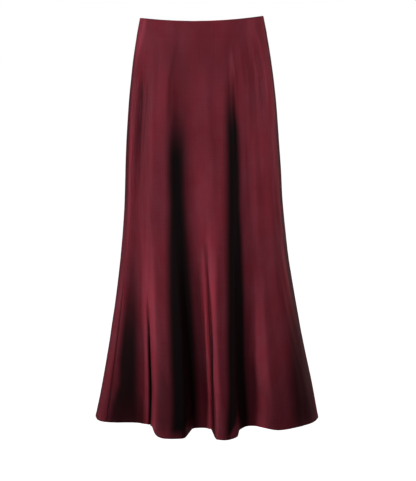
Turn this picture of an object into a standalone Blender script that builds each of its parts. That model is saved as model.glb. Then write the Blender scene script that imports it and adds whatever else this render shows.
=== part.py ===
"""Mermaid fishtail skirt in satin, filled out with no wearer: two panels, waist facings and a concealed side zip.

Metres, +Z up. The origin is the middle of the waist, the front faces -Y, and the wearer's left is at +X.
Angles round the skirt are in degrees: 0 is +X, 90 the middle of the back and 270 the middle of the front.
"""

import math
from collections import namedtuple

import bmesh
import bpy
import numpy as np
from mathutils import Matrix, Vector

NAME = "mermaid_skirt"

# Cloth
LENGTH = 0.909
WALL = 0.0015
SEAM_GAP = 0.0003
RIM_DIP = 0.0085
RIM_TILT = 0.0022
RIM_SETTLES = 0.30

# Side seams, by the hem angle of the thread that they follow. The zip is in the one on the wearer's left.
ZIP_SEAM = 20.0
PLAIN_SEAM = 202.0

# Facing inside the waist
FACING_DEPTH = 0.041
FACING_WALL = 0.0010

# Concealed zip: its seam is parted down to ZIP_PARTED, for the slider
ZIP_PARTED = 0.012
ZIP_PART_HALF = 0.0011
ZIP_TAPE_TOP = 0.016
ZIP_TAPE_END = 0.200
ZIP_TAPE_HALF = 0.012
ZIP_TAPE_WALL = 0.0008
ZIP_TAPE_INSET = WALL + 0.0005
FACING_TO_TAPE = 0.001

# Slider and pull tab, in their own frame: x round the skirt, y up the seam, z straight out of the cloth
SLIDER_DROP = 0.0085
SLIDER_BODY = Vector((0.0070, 0.0085, 0.0028))
SLIDER_BODY_OUT = -0.0038
BAIL_WIDTH = 0.0014
BAIL_HEIGHT = 0.0050
BAIL_OUT = 0.0034
BAIL_EYE = Vector((0.0040, 0.0032, 0.0016))
PULL_AXIS_OUT = 0.0017
PULL_BAR = 0.0008
PULL_HALF_WIDTH = 0.0022
PULL_EYE_HALF = 0.0011
PULL_EYE_REACH = 0.0035
PULL_END_HALF = 0.0030
PULL_LENGTH = 0.0200
PULL_THICKNESS = 0.0008

COLUMNS = 58
ROWS_BELOW_FACING = 22
SEAM_STRIP = 0.0025

# The plain oval that the cloth hangs from, row by row down the skirt
Section = namedtuple("Section", "drop half_width front_depth back_depth shift")
SECTIONS = (
    Section(0.000, 0.1357, 0.082, 0.084, 0.0000),
    Section(0.050, 0.1455, 0.092, 0.098, 0.0003),
    Section(0.100, 0.1537, 0.101, 0.111, 0.0009),
    Section(0.180, 0.1632, 0.111, 0.122, 0.0017),
    Section(0.250, 0.1684, 0.115, 0.125, 0.0020),
    Section(0.330, 0.1735, 0.116, 0.123, 0.0028),
    Section(0.410, 0.1772, 0.117, 0.121, 0.0038),
    Section(0.480, 0.1832, 0.120, 0.123, 0.0050),
    Section(0.550, 0.1910, 0.124, 0.127, 0.0060),
    Section(0.620, 0.2005, 0.129, 0.132, 0.0073),
    Section(0.690, 0.2115, 0.135, 0.138, 0.0085),
    Section(0.760, 0.2230, 0.140, 0.144, 0.0098),
    Section(0.830, 0.2355, 0.142, 0.149, 0.0112),
    Section(0.909, 0.2495, 0.142, 0.154, 0.0112),
)

# One row for each flute: the angles of its two walls at the hip and at the hem, how many degrees each wall takes at
# the hem and what share of it is a wide soft slope, how far its crest stands out from the oval at the hem and at the
# hip, and the drop where it starts to open
Flute = namedtuple(
    "Flute",
    "name hip_left hip_right hem_left hem_right left_wall right_wall left_soft right_soft out hip_out starts",
)
FLUTES = (
    Flute("right_back", 34.0, 50.0, 29.0, 44.0, 11.0, 6.0, 0.50, 0.30, 0.028, 0.0010, 0.40),
    Flute("back_right", 62.0, 78.0, 57.0, 73.0, 4.0, 11.0, 0.30, 0.60, 0.040, 0.0025, 0.36),
    Flute("back_middle", 90.0, 104.0, 86.0, 100.0, 9.0, 3.5, 0.65, 0.30, 0.034, 0.0020, 0.41),
    Flute("back_left", 116.0, 132.0, 112.0, 128.0, 3.5, 12.0, 0.30, 0.65, 0.042, 0.0025, 0.37),
    Flute("left_back", 146.0, 158.0, 140.0, 153.0, 11.0, 6.0, 0.50, 0.30, 0.027, 0.0010, 0.43),
    Flute("left_side", 172.0, 207.0, 165.0, 209.4, 14.0, 36.0, 0.10, 0.10, 0.0065, 0.0000, 0.45),
    Flute("front_left", 225.0, 249.0, 241.6, 260.7, 9.5, 3.0, 0.85, 0.25, 0.0425, 0.0055, 0.42),
    Flute("front_middle", 270.0, 294.5, 273.3, 286.2, 2.5, 4.0, 0.25, 0.70, 0.052, 0.0030, 0.36),
    Flute("front_right", 308.0, 366.0, 303.8, 374.0, 11.5, 13.0, 0.35, 0.10, 0.0075, 0.0005, 0.42),
)
TROUGH_REACH = -0.0453
SOFT_WALL = 19.0
HIP_TROUGH_REACH = -0.0090
HIP_LEFT_WALL = 19.0
HIP_RIGHT_WALL = 8.5
HIP_FOLDS_FULL = 0.20
OPENING_POWER = 1.8
DRIFT_STARTS = 0.25


def ease(value):
    """A smooth step from 0 to 1."""
    value = np.clip(value, 0.0, 1.0)
    return value * value * (3.0 - 2.0 * value)


def through(places, values, at):
    """A smooth curve through the rows of a table."""
    slopes = np.gradient(values, places)
    i = int(np.clip(np.searchsorted(places, at) - 1, 0, len(places) - 2))
    span = places[i + 1] - places[i]
    u = (at - places[i]) / span
    hold = values[i] * (1 + 2 * u) * (1 - u) ** 2 + values[i + 1] * u * u * (3 - 2 * u)
    turn = slopes[i] * u * (1 - u) ** 2 - slopes[i + 1] * u * u * (1 - u)
    return hold + span * turn


DROPS = np.array([row.drop for row in SECTIONS])
SHAPE = {name: np.array([getattr(row, name) for row in SECTIONS]) for name in Section._fields[1:]}


def oval(angle, drop):
    """The point of the plain oval at this angle and drop, and the way straight out from it."""
    half_width, front, back, shift = (through(DROPS, SHAPE[name], drop) for name in Section._fields[1:])
    depth = back if math.sin(math.radians(angle)) > 0 else front
    cos, sin = math.cos(math.radians(angle)), math.sin(math.radians(angle))
    out = Vector((depth * cos, half_width * sin, 0.0)).normalized()
    rim = RIM_TILT * cos - RIM_DIP * sin * sin
    height = -drop + rim * (1 - ease(drop / RIM_SETTLES))
    return Vector((shift + half_width * cos, depth * sin, height)), out


def flute_cover(angle, left, right, left_wall, right_wall, left_soft=0.0, right_soft=0.0):
    """1 on a flute's crest, 0 in the troughs beside it. The soft share of each wall is a wide slope."""
    middle = (left + right) / 2
    away = (angle - middle + 180.0) % 360.0 - 180.0 + middle

    def wall(inside, width, soft):
        slope = ease(inside / max(width, SOFT_WALL) + 0.5)
        return (1 - soft) * ease(inside / width + 0.5) + soft * slope

    return wall(away - left, left_wall, left_soft) * wall(right - away, right_wall, right_soft)


def hem_reach(angle):
    """How far the hem lies outside the oval at this hem angle."""
    reach = TROUGH_REACH
    for row in FLUTES:
        cover = flute_cover(angle, *row[3:9])
        reach += (row.out - TROUGH_REACH) * cover
    return reach


def hip_reach(angle):
    """How far the soft folds at the hip stand outside the oval at this hip angle."""
    reach = HIP_TROUGH_REACH
    for row in FLUTES:
        cover = flute_cover(angle, row.hip_left, row.hip_right, HIP_LEFT_WALL, HIP_RIGHT_WALL)
        reach += (row.hip_out - HIP_TROUGH_REACH) * cover
    return reach


def wall_angles(places):
    """The angles of every flute's two walls in order, carried one turn past both ends."""
    turn = sorted(places)
    return np.array([a - 360.0 for a in turn[-2:]] + turn + [a + 360.0 for a in turn[:2]])


WALLS_HIP = wall_angles([a for row in FLUTES for a in (row.hip_left, row.hip_right)])
WALLS_HEM = wall_angles([a for row in FLUTES for a in (row.hem_left, row.hem_right)])
CRESTS = wall_angles([(row.hem_left + row.hem_right) / 2 for row in FLUTES])
STARTS = np.array([row.starts for row in FLUTES])
STARTS = np.concatenate([STARTS[-2:], STARTS, STARTS[:2]])


def hip_angle_of(hem_angle):
    """Where the thread that ends at this hem angle passes the hip."""
    turns = math.floor(hem_angle / 360.0) * 360.0
    return through(WALLS_HEM, WALLS_HIP, hem_angle - turns) + turns


def cloth_point(hem_angle, drop, hip_angle=None):
    """A point of the cloth's outer face, on the thread that ends at hem_angle."""
    if hip_angle is None:
        hip_angle = hip_angle_of(hem_angle)
    drift = ease((drop - DRIFT_STARTS) / (LENGTH - DRIFT_STARTS))
    angle = hip_angle + (hem_angle - hip_angle) * drift
    starts = np.interp(hem_angle % 360.0, CRESTS, STARTS)
    opened = max(0.0, (drop - starts) / (LENGTH - starts)) ** OPENING_POWER
    folded = ease(drop / HIP_FOLDS_FULL) * (1 - 0.6 * drift)
    point, out = oval(angle, drop)
    return point + out * (hem_reach(hem_angle) * opened + hip_reach(hip_angle) * folded)


def cloth_normal(hem_angle, drop, hip_angle=None):
    """The way straight out of the cloth there."""
    step_angle, step_drop = 0.05, 0.0005
    hip_ends = (None, None) if hip_angle is None else (hip_angle - step_angle, hip_angle + step_angle)
    round_it = cloth_point(hem_angle + step_angle, drop, hip_ends[1]) - cloth_point(
        hem_angle - step_angle, drop, hip_ends[0]
    )
    up = cloth_point(hem_angle, drop - step_drop, hip_angle) - cloth_point(hem_angle, drop + step_drop, hip_angle)
    return round_it.cross(up).normalized()


def panel_columns(first, last):
    """Hem angles of a panel's threads, the same length of hem apart but for a narrow strip at each seam."""
    fine = np.linspace(first, last, 720)
    points = [cloth_point(angle, LENGTH) for angle in fine]
    steps = [0.0] + [(b - a).length for a, b in zip(points, points[1:])]
    along = np.cumsum(steps)
    places = np.linspace(0.0, along[-1], COLUMNS + 1)
    places = [0.0, SEAM_STRIP, *places[1:-1], along[-1] - SEAM_STRIP, along[-1]]
    return np.interp(places, along, fine)


DROP_ROWS = np.concatenate(
    [[0.0, ZIP_PARTED, ZIP_TAPE_TOP], np.linspace(FACING_DEPTH, LENGTH, ROWS_BELOW_FACING + 1)]
)


def new_material(name, color, roughness, metallic=0.0):
    material = bpy.data.materials.new(name)
    material.use_nodes = True
    shader = material.node_tree.nodes["Principled BSDF"]
    shader.inputs["Base Color"].default_value = (*color, 1.0)
    shader.inputs["Roughness"].default_value = roughness
    shader.inputs["Metallic"].default_value = metallic
    return material


def new_object(name, mesh, material, collection):
    mesh.materials.append(material)
    piece = bpy.data.objects.new(name, mesh)
    collection.objects.link(piece)
    return piece


def make_sheet(name, place, columns, rows, thickness, material, collection):
    """A grid of cloth whose points place(column, row) gives, left to right and top to bottom, thickened inwards."""
    bm = bmesh.new()
    bmesh.ops.create_grid(bm, x_segments=len(columns) - 1, y_segments=len(rows) - 1, size=1.0)
    for vertex in bm.verts:
        column = round((vertex.co.x + 1) / 2 * (len(columns) - 1))
        row = round((1 - vertex.co.y) / 2 * (len(rows) - 1))
        vertex.co = place(columns[column], rows[row])
    mesh = bpy.data.meshes.new(name)
    bm.to_mesh(mesh)
    bm.free()
    mesh.shade_smooth()
    piece = new_object(name, mesh, material, collection)
    wall = piece.modifiers.new("wall", "SOLIDIFY")
    wall.thickness = thickness
    wall.offset = -1.0


def round_way(hem_angle, drop):
    """The way round the skirt at this point, towards greater angles."""
    ahead, behind = (cloth_point(hem_angle + step, drop) for step in (0.05, -0.05))
    return (ahead - behind).normalized()


def seam_half_gap(hem_angle, drop):
    """Half the gap between the panels at the seam on this thread."""
    at_zip = abs(hem_angle % 360.0 - ZIP_SEAM) < 1.0
    return ZIP_PART_HALF if at_zip and drop <= ZIP_PARTED else SEAM_GAP / 2


def make_layer(name, columns, rows, inset, thickness, material, collection):
    """A layer of the skirt between two seams, inset from the cloth's outer face."""

    def place(hem_angle, drop):
        point = cloth_point(hem_angle, drop) - cloth_normal(hem_angle, drop) * inset
        if hem_angle in (columns[0], columns[-1]):
            inwards = 1 if hem_angle == columns[0] else -1
            point += round_way(hem_angle, drop) * seam_half_gap(hem_angle, drop) * inwards
        return point

    make_sheet(name, place, columns, rows, thickness, material, collection)


def make_panel_and_facing(side, first_seam, last_seam, satin, facing_satin, collection):
    columns = panel_columns(first_seam, last_seam)
    make_layer(f"{side}_panel", columns, DROP_ROWS, 0.0, WALL, satin, collection)
    zip_top = cloth_point(ZIP_SEAM, 0.0)
    clear = ZIP_TAPE_HALF + FACING_TO_TAPE
    facing_columns = [c for c in columns if (cloth_point(c, 0.0) - zip_top).length > clear]
    facing_rows = [drop for drop in DROP_ROWS if drop <= FACING_DEPTH]
    inset = WALL + SEAM_GAP
    make_layer(f"{side}_facing", facing_columns, facing_rows, inset, FACING_WALL, facing_satin, collection)


def make_zip_tape(material, collection):
    """The closed tape behind the zip seam."""
    rows = [drop for drop in DROP_ROWS if ZIP_TAPE_TOP <= drop <= ZIP_TAPE_END]
    hip_angle = hip_angle_of(ZIP_SEAM)

    def place(across, drop):
        per_degree = (cloth_point(ZIP_SEAM, drop, hip_angle + 1) - cloth_point(ZIP_SEAM, drop, hip_angle)).length
        at = hip_angle + across / per_degree
        return cloth_point(ZIP_SEAM, drop, at) - cloth_normal(ZIP_SEAM, drop, at) * ZIP_TAPE_INSET

    across = np.linspace(-ZIP_TAPE_HALF, ZIP_TAPE_HALF, 5)
    make_sheet("zip_tape", place, across, rows, ZIP_TAPE_WALL, material, collection)


def slider_frame():
    """Where the slider sits: x round the skirt, y up the seam, z straight out."""
    out = cloth_normal(ZIP_SEAM, SLIDER_DROP)
    way = round_way(ZIP_SEAM, SLIDER_DROP)
    up = out.cross(way).normalized()
    way = up.cross(out)
    frame = Matrix((way, up, out)).transposed().to_4x4()
    frame.translation = cloth_point(ZIP_SEAM, SLIDER_DROP)
    return frame


def make_box(name, size, centre, frame, material, collection):
    bm = bmesh.new()
    bmesh.ops.create_cube(bm, size=1.0)
    bmesh.ops.scale(bm, vec=size, verts=bm.verts)
    bmesh.ops.translate(bm, vec=centre, verts=bm.verts)
    mesh = bpy.data.meshes.new(name)
    bm.to_mesh(mesh)
    bm.free()
    box = new_object(name, mesh, material, collection)
    box.matrix_world = frame
    return box


def make_slider(frame, metal, collection, cutters):
    slider = make_box("zip_slider", SLIDER_BODY, Vector((0, 0, SLIDER_BODY_OUT)), frame, metal, collection)
    bail_depth = BAIL_OUT - SLIDER_BODY_OUT
    bail = make_box(
        "slider_bail",
        Vector((BAIL_WIDTH, BAIL_HEIGHT, bail_depth)),
        Vector((0, 0, BAIL_OUT - bail_depth / 2)),
        frame,
        metal,
        cutters,
    )
    eye = make_box("slider_eye", BAIL_EYE, Vector((0, 0, PULL_AXIS_OUT)), frame, metal, cutters)
    for helper, operation in ((bail, "UNION"), (eye, "DIFFERENCE")):
        helper.hide_render = True
        helper.display_type = "WIRE"
        step = slider.modifiers.new(helper.name, "BOOLEAN")
        step.operation = operation
        step.object = helper


def make_pull(frame, metal, collection):
    """The pull tab: a flat plate with an eye, whose bar lies in the slider's bail."""
    half_bar = PULL_BAR / 2
    end = [
        (
            PULL_END_HALF * math.cos(turn),
            PULL_END_HALF - PULL_LENGTH + PULL_END_HALF * math.sin(turn),
        )
        for turn in np.linspace(0.0, -math.pi, 9)
    ]
    outline = [(-PULL_HALF_WIDTH, half_bar), (PULL_HALF_WIDTH, half_bar), *end]
    eye = [
        (-PULL_EYE_HALF, -half_bar),
        (-PULL_EYE_HALF, -PULL_EYE_REACH),
        (PULL_EYE_HALF, -PULL_EYE_REACH),
        (PULL_EYE_HALF, -half_bar),
    ]
    curve = bpy.data.curves.new("zip_pull", "CURVE")
    curve.dimensions = "2D"
    curve.fill_mode = "BOTH"
    curve.extrude = PULL_THICKNESS / 2
    for loop in (outline, eye):
        spline = curve.splines.new("POLY")
        spline.points.add(len(loop) - 1)
        for point, (x, y) in zip(spline.points, loop):
            point.co = (x, y, 0.0, 1.0)
        spline.use_cyclic_u = True
    pull = new_object("zip_pull", curve, metal, collection)
    pull.matrix_world = frame @ Matrix.Translation((0, 0, PULL_AXIS_OUT))


def main():
    for old in list(bpy.data.objects):
        bpy.data.objects.remove(old, do_unlink=True)
    collection = bpy.data.collections.new(NAME)
    cutters = bpy.data.collections.new("cutters")
    for group in (collection, cutters):
        bpy.context.scene.collection.children.link(group)

    front_satin = new_material("front_satin", (0.15, 0.018, 0.026), 0.38, 0.5)
    back_satin = new_material("back_satin", (0.15, 0.018, 0.026), 0.38, 0.5)
    facing_satin = new_material("facing_satin", (0.12, 0.015, 0.022), 0.5, 0.3)
    tape = new_material("zip_tape", (0.05, 0.008, 0.012), 0.8)
    metal = new_material("zip_metal", (0.10, 0.013, 0.020), 0.35, 0.9)

    make_panel_and_facing("front", PLAIN_SEAM, ZIP_SEAM + 360.0, front_satin, facing_satin, collection)
    make_panel_and_facing("back", ZIP_SEAM, PLAIN_SEAM, back_satin, facing_satin, collection)
    make_zip_tape(tape, collection)
    frame = slider_frame()
    make_slider(frame, metal, collection, cutters)
    make_pull(frame, metal, collection)


main()
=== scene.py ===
"""Burgundy satin mermaid skirt, filled out with no wearer: panels, facings, hem, seams and a concealed zip.

Metres, +Z up. The origin is the middle of the waist, the front faces -Y, and the wearer's left is at +X.
Angles round the skirt are in degrees: 0 is +X, 90 the middle of the back and 270 the middle of the front.
A thread is named by the angle it reaches at the hem, and a point's drop is its depth below the waist edge.
"""

import math
from collections import namedtuple

import bmesh
import bpy
import numpy as np
from mathutils import Matrix, Vector


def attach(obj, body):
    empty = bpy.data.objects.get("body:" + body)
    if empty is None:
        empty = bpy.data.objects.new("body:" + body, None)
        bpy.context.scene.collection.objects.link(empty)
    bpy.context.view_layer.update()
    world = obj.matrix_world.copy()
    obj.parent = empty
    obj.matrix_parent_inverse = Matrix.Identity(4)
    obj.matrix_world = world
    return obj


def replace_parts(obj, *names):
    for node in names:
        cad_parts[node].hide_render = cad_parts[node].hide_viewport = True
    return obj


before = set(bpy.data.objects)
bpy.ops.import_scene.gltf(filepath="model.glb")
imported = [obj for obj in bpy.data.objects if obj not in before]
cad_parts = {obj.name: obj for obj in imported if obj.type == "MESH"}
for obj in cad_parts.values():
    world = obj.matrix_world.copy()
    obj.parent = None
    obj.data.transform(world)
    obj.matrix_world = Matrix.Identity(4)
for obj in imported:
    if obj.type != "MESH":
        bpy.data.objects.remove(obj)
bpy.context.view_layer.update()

# ---------------------------------------------------------------- sizes

# The whole skirt, and its waist edge, which is lower at the front and back
LENGTH = 0.909
WALL = 0.0015
SATIN = 0.0006
RIM_DIP = 0.0085
RIM_TILT = 0.0022
RIM_SETTLES = 0.30
RIM_ROLL = 0.0020
ROLL_FULLNESS = 0.98

# Side seams, pressed open, with puckers that wander and swell along them
ZIP_SEAM = 20.0
PLAIN_SEAM = 202.0
SEAM_GROOVE = 0.0007
SEAM_GROOVE_WIDTH = 0.0011
SEAM_SIDE = 1e-4
ALLOWANCE = 0.012
ALLOWANCE_STARTS = 0.00002
ALLOWANCE_WALL = 0.8 * SATIN
ALLOWANCE_GAP = 0.0003
ALLOWANCE_SPRING = 0.0005
ALLOWANCE_WAVE = 0.00025
ALLOWANCE_WAVE_RATE = 190.0
ALLOWANCE_PRINT = 0.00030
ALLOWANCE_PRINT_SOFT = 0.003
PUCKER = 0.00030
PUCKER_REACH = 0.0075
PUCKER_LENGTH = 0.0150
PUCKER_WANDER = 1.7
PUCKER_WANDER_RATE = 23.0
PUCKER_SWELL = 0.45
PUCKER_SWELL_RATE = 31.0
PUCKER_SIDES_APART = 0.5

# Facings inside the waist, and the print of their lower edge
FACING_DEPTH = 0.041
FACING_INSET = 0.0016
FACING_PRINT = 0.00045
FACING_PRINT_SOFT = 0.0024
FACING_PRINT_UNEVEN = 0.3
FACING_PRINT_WAVES = (17.0, 5.0)
FACING_WAVE = 0.0003
FACING_WAVES = 9.0
FACING_WAVE_GROWS = 0.02
UNDERSTITCH_DROP = 0.0032
UNDERSTITCH_DEPTH = 0.0004
UNDERSTITCH_WIDTH = 0.0010

# Hem, turned up once and stitched
HEM_DEPTH = 0.0085
HEM_PRINT = 0.00035
HEM_PRINT_SOFT = 0.0016
HEM_STITCH_UP = 0.0070
HEM_STITCH_DEPTH = 0.00035
HEM_STITCH_WIDTH = 0.0009
HEM_STITCH_UNEVEN = 0.25
HEM_STITCH_WAVES = 140.0
HEM_ROLL = 0.0009
TURNING_GAP = 0.0004
TURNING_PRESSED = 0.0002
TURNING_EDGE = 0.0006

# Stitches
STITCH_PITCH = 0.0026
STITCH_LENGTH = 0.0021
STITCH_RADIUS = 0.00017
UNDERSTITCH_INSET = FACING_INSET + SATIN + 0.0001
HEM_STITCH_INSET = -0.00002
BOBBIN_INSET = 2 * SATIN + 0.0003
OVERLOCK_PITCH = 0.0024
OVERLOCK_WIDTH = 0.0038
OVERLOCK_PAST_EDGE = 0.0005
OVERLOCK_UNDER_EDGE = 0.0003
OVERLOCK_LIFT = 0.00045
OVERLOCK_BOW = 0.0002
OVERLOCK_BOW_AT = 0.4
OVERLOCK_NEEDLE_LIFT = 0.00005
OVERLOCK_THREAD = 0.00016

# Concealed zip: its seam is parted above the slider
ZIP_SHUTS_FROM = 0.008
ZIP_SHUTS_OVER = 0.006
ZIP_PART_HALF = 0.0011
ZIP_PART_REACH = 4.0
ZIP_PART_GIVES = 0.002
ZIP_TAPE_TOP = 0.016
ZIP_TAPE_END = 0.200
ZIP_TAPE_HALF = 0.012
ZIP_TAPE_WALL = 0.0006
ZIP_TAPE_INSET = WALL + 0.0005
FACING_TO_TAPE = 0.001
COIL_PITCH = 0.0013
COIL_STEPS = 10
COIL_HALF_WIDTH = 0.0021
COIL_HALF_HEIGHT = 0.0007
COIL_LIFT = 0.0010
COIL_END = 0.001
COIL_WIRE = 0.00032
COIL_CORD_AWAY = 0.0032
COIL_CORD_LIFT = 0.0003
COIL_CORD_RADIUS = 0.0002

# Slider and pull tab, with heights out from the cloth
SLIDER_DROP = 0.0085
SLIDER_BODY = Vector((0.0070, 0.0085, 0.0028))
SLIDER_BODY_OUT = -0.0038
SLIDER_TAPER = 0.72
SLIDER_BEVEL = 0.0006
NECK_LENGTH = 0.0046
NECK_OUT = 0.0010
NECK_BEVEL = 0.0003
BAIL_WIDTH = 0.0014
BAIL_WIRE = 0.00048
PULL_AXIS_OUT = 0.0017
PULL_BAR = 0.0008
PULL_HALF_WIDTH = 0.0022
PULL_EYE_HALF = 0.0011
PULL_EYE_REACH = 0.0035
PULL_END_HALF = 0.0030
PULL_LENGTH = 0.0200
PULL_THICKNESS = 0.0008
PULL_ROUNDING = 0.00016
PULL_SHARP_EDGE = 40

# One leg of the slider's bail from its foot to its top: how far from the middle, and how far out
BAIL_LEG = ((0.0019, -0.0014), (0.0021, 0.0006), (0.0018, 0.0018), (0.0011, 0.0026))
BAIL_TOP = 0.0029

# ---------------------------------------------------------------- the form

# The plain oval that the cloth hangs from, row by row down the skirt
Section = namedtuple("Section", "drop half_width front_depth back_depth shift")
SECTIONS = (
    Section(0.000, 0.1357, 0.082, 0.084, 0.0000),
    Section(0.050, 0.1455, 0.092, 0.098, 0.0003),
    Section(0.100, 0.1537, 0.101, 0.111, 0.0009),
    Section(0.180, 0.1632, 0.111, 0.122, 0.0017),
    Section(0.250, 0.1684, 0.115, 0.125, 0.0020),
    Section(0.330, 0.1735, 0.116, 0.123, 0.0028),
    Section(0.410, 0.1772, 0.117, 0.121, 0.0038),
    Section(0.480, 0.1832, 0.120, 0.123, 0.0050),
    Section(0.550, 0.1910, 0.124, 0.127, 0.0060),
    Section(0.620, 0.2005, 0.129, 0.132, 0.0073),
    Section(0.690, 0.2115, 0.135, 0.138, 0.0085),
    Section(0.760, 0.2230, 0.140, 0.144, 0.0098),
    Section(0.830, 0.2355, 0.142, 0.149, 0.0112),
    Section(0.909, 0.2495, 0.142, 0.154, 0.0112),
)

# One row for each flute: the angles of its two walls at the hip and at the hem, how many degrees each wall
# takes at the hem and what share of it is a wide soft slope, how far its crest stands out from the oval at
# the hem and at the hip, and the drop where it starts to open
Flute = namedtuple(
    "Flute",
    "name hip_left hip_right hem_left hem_right left_wall right_wall left_soft right_soft out hip_out starts",
)
FLUTES = (
    Flute("right_back", 34.0, 50.0, 29.0, 44.0, 11.0, 6.0, 0.50, 0.30, 0.028, 0.0010, 0.40),
    Flute("back_right", 62.0, 78.0, 57.0, 73.0, 4.0, 11.0, 0.30, 0.60, 0.040, 0.0025, 0.36),
    Flute("back_middle", 90.0, 104.0, 86.0, 100.0, 9.0, 3.5, 0.65, 0.30, 0.034, 0.0020, 0.41),
    Flute("back_left", 116.0, 132.0, 112.0, 128.0, 3.5, 12.0, 0.30, 0.65, 0.042, 0.0025, 0.37),
    Flute("left_back", 146.0, 158.0, 140.0, 153.0, 11.0, 6.0, 0.50, 0.30, 0.027, 0.0010, 0.43),
    Flute("left_side", 172.0, 207.0, 165.0, 209.4, 14.0, 36.0, 0.10, 0.10, 0.0065, 0.0000, 0.45),
    Flute("front_left", 225.0, 249.0, 241.6, 260.7, 9.5, 3.0, 0.85, 0.25, 0.0425, 0.0055, 0.42),
    Flute("front_middle", 270.0, 294.5, 273.3, 286.2, 2.5, 4.0, 0.25, 0.70, 0.052, 0.0030, 0.36),
    Flute("front_right", 308.0, 366.0, 303.8, 374.0, 11.5, 13.0, 0.35, 0.10, 0.0075, 0.0005, 0.42),
)
TROUGH_REACH = -0.0453
SOFT_WALL = 19.0
HIP_TROUGH_REACH = -0.0090
HIP_LEFT_WALL = 19.0
HIP_RIGHT_WALL = 8.5
HIP_FOLDS_FULL = 0.20
HIP_FOLDS_FADE = 0.6
OPENING_POWER = 1.8
DRIFT_STARTS = 0.25

# Creases: the thread and drop of both ends, how wide and how deep each is pressed in (out, where the depth is
# negative), and the length over which it comes and goes
Crease = namedtuple("Crease", "name high_thread high_drop low_thread low_drop width depth fade")
CREASES = (
    Crease("left_flute_slit", 234.7, 0.640, 234.3, 0.990, 0.0030, 0.0046, 0.080),
    Crease("middle_flute_slit", 274.4, 0.560, 273.5, 0.990, 0.0023, 0.0046, 0.180),
    Crease("middle_flute_roll", 272.4, 0.500, 271.5, 0.990, 0.0046, -0.0034, 0.180),
    Crease("left_waist_dip", 262.5, -0.030, 259.8, 0.180, 0.0085, 0.0016, 0.060),
    Crease("left_hip_tuck", 215.0, 0.085, 213.4, 0.440, 0.0055, 0.0028, 0.080),
    Crease("right_waist_streak", 331.0, 0.018, 348.5, 0.086, 0.0022, -0.0009, 0.022),
    Crease("right_waist_line", 322.0, 0.020, 327.5, 0.220, 0.0018, 0.0010, 0.060),
    Crease("right_panel_roll", 302.4, 0.560, 301.4, 0.990, 0.0120, -0.0045, 0.250),
    Crease("right_panel_dip", 318.0, 0.560, 322.0, 0.990, 0.0170, 0.0022, 0.180),
    Crease("right_hip_dip", 342.0, 0.240, 346.0, 0.620, 0.0150, 0.0012, 0.150),
    Crease("back_right_slit", 57.7, 0.590, 57.1, 0.990, 0.0025, 0.0046, 0.160),
    Crease("back_right_roll", 55.6, 0.560, 55.1, 0.990, 0.0048, -0.0030, 0.170),
    Crease("back_middle_slit", 80.4, 0.660, 80.0, 0.990, 0.0030, 0.0042, 0.090),
    Crease("back_left_slit", 113.0, 0.520, 112.3, 0.990, 0.0024, 0.0048, 0.210),
    Crease("back_left_roll", 110.9, 0.500, 110.2, 0.990, 0.0046, -0.0034, 0.190),
    Crease("left_back_slit", 134.8, 0.700, 134.3, 0.990, 0.0034, 0.0036, 0.080),
    Crease("back_waist_dip", 94.0, -0.030, 97.0, 0.170, 0.0090, 0.0014, 0.060),
    Crease("back_waist_line", 128.0, 0.020, 121.0, 0.190, 0.0019, 0.0009, 0.060),
    Crease("back_hip_tuck", 148.0, 0.090, 150.5, 0.400, 0.0080, 0.0022, 0.090),
    Crease("zip_hip_tuck", 36.0, 0.110, 33.0, 0.430, 0.0075, 0.0024, 0.090),
    Crease("zip_waist_streak", 41.0, 0.020, 29.0, 0.084, 0.0022, -0.0008, 0.022),
)
# A crease narrower than NARROW_CREASE has a small lip along both sides
NARROW_CREASE = 0.0045
CREASE_LIP = 0.30
LIP_AWAY = 1.9
LIP_WIDTH = 0.8
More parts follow.
